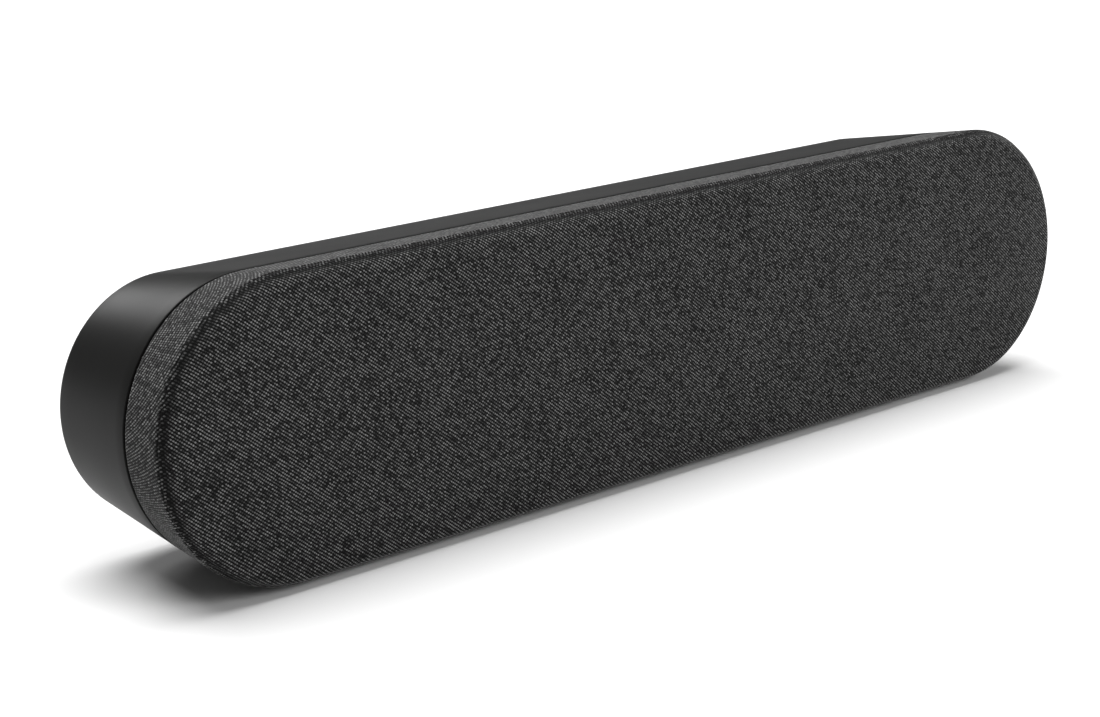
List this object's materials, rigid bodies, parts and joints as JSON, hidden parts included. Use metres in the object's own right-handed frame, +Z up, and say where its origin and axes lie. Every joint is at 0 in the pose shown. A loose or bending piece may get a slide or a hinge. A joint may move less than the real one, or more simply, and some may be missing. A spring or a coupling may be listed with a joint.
{
  "type": "soundbar",
  "caption": "Compact racetrack-shaped soundbar with a cloth-wrapped front grille, a tapered plastic rear case, a recessed rear socket bay and low rubber feet.",
  "frame": {"origin": "on the table plane, under the centre of the bar's bounding box", "axes": "+X along the bar to the right of someone facing the grille, -Y out of the grille towards the listener, +Z up"},
  "size_m": [0.449, 0.08, 0.1045],
  "materials": {
    "cloth": "coarse charcoal melange twill",
    "case_black": "smooth satin black moulding",
    "inner_black": "plain black moulding",
    "rubber": "matte black rubber",
    "paper": "coated paper pulp",
    "spider_cloth": "resin-dipped corrugated cloth",
    "steel": "zinc-plated steel",
    "ferrite": "dark sintered ferrite",
    "brass": "turned brass",
    "aluminium": "satin aluminium",
    "circuit": "green solder mask",
    "copper": "enamelled copper wire",
    "clear": "clear moulded light guide"
  },
  "bodies": {
    "enclosure": {"baffle_gasket": "rubber", "capacitor_lower": "ferrite", "capacitor_upper": "ferrite", "dc_jack": "inner_black", "foot_left": "rubber", "foot_right": "rubber", "front_baffle": "inner_black", "grille_fabric": "cloth", "grille_frame": "inner_black", "hdmi_port": "steel", "heat_sink": "aluminium", "housing_screw_1": "steel", "housing_screw_2": "steel", "housing_screw_3": "steel", "housing_screw_4": "steel", "housing_screw_5": "steel", "housing_screw_6": "steel", "housing_screw_7": "steel", "housing_screw_8": "steel", "io_tray": "inner_black", "light_pipe": "clear", "main_board": "circuit", "optical_port": "inner_black", "radiator_frame": "inner_black", "radiator_surround": "rubber", "radio_shield": "steel", "rear_housing": "case_black", "speaker_lead_left": "rubber", "speaker_lead_right": "rubber", "status_board": "circuit", "tweeter_left_body": "inner_black", "tweeter_right_body": "inner_black", "usb_port": "steel", "wall_insert_left": "brass", "wall_insert_right": "brass", "woofer_left_basket": "inner_black", "woofer_left_magnet": "ferrite", "woofer_left_spider": "spider_cloth", "woofer_left_surround": "rubber", "woofer_left_top_plate": "steel", "woofer_left_yoke": "steel", "woofer_right_basket": "inner_black", "woofer_right_magnet": "ferrite", "woofer_right_spider": "spider_cloth", "woofer_right_surround": "rubber", "woofer_right_top_plate": "steel", "woofer_right_yoke": "steel"},
    "woofer_left_moving": {"woofer_left_cone": "paper", "woofer_left_dust_cap": "paper", "woofer_left_voice_coil": "copper"},
    "tweeter_left_moving": {"tweeter_left_dome": "paper"},
    "woofer_right_moving": {"woofer_right_cone": "paper", "woofer_right_dust_cap": "paper", "woofer_right_voice_coil": "copper"},
    "tweeter_right_moving": {"tweeter_right_dome": "paper"},
    "radiator_moving": {"radiator_diaphragm": "aluminium", "radiator_weight": "steel"},
    "power_button": {"power_button": "case_black"},
    "source_button": {"source_button": "case_black"}
  },
  "joints": [
    {"name": "woofer_left_travel", "type": "slide", "parent": "enclosure", "child": "woofer_left_moving", "axis": [0, -1, 0], "range_m": [-0.003, 0.003], "stiffness_N_per_m": 1500, "deforming": ["woofer_left_surround", "woofer_left_spider"]},
    {"name": "tweeter_left_travel", "type": "slide", "parent": "enclosure", "child": "tweeter_left_moving", "axis": [0, -1, 0], "range_m": [-0.0003, 0.0003], "stiffness_N_per_m": 1000},
    {"name": "woofer_right_travel", "type": "slide", "parent": "enclosure", "child": "woofer_right_moving", "axis": [0, -1, 0], "range_m": [-0.003, 0.003], "stiffness_N_per_m": 1500, "deforming": ["woofer_right_surround", "woofer_right_spider"]},
    {"name": "tweeter_right_travel", "type": "slide", "parent": "enclosure", "child": "tweeter_right_moving", "axis": [0, -1, 0], "range_m": [-0.0003, 0.0003], "stiffness_N_per_m": 1000},
    {"name": "radiator_travel", "type": "slide", "parent": "enclosure", "child": "radiator_moving", "axis": [0, -1, 0], "range_m": [-0.005, 0.005], "stiffness_N_per_m": 3000, "deforming": ["radiator_surround"]},
    {"name": "power_button_press", "type": "slide", "parent": "enclosure", "child": "power_button", "axis": [0, -1, 0], "range_m": [0, 0.0005], "stiffness_N_per_m": 1500},
    {"name": "source_button_press", "type": "slide", "parent": "enclosure", "child": "source_button", "axis": [0, -1, 0], "range_m": [0, 0.0005], "stiffness_N_per_m": 1500}
  ]
}
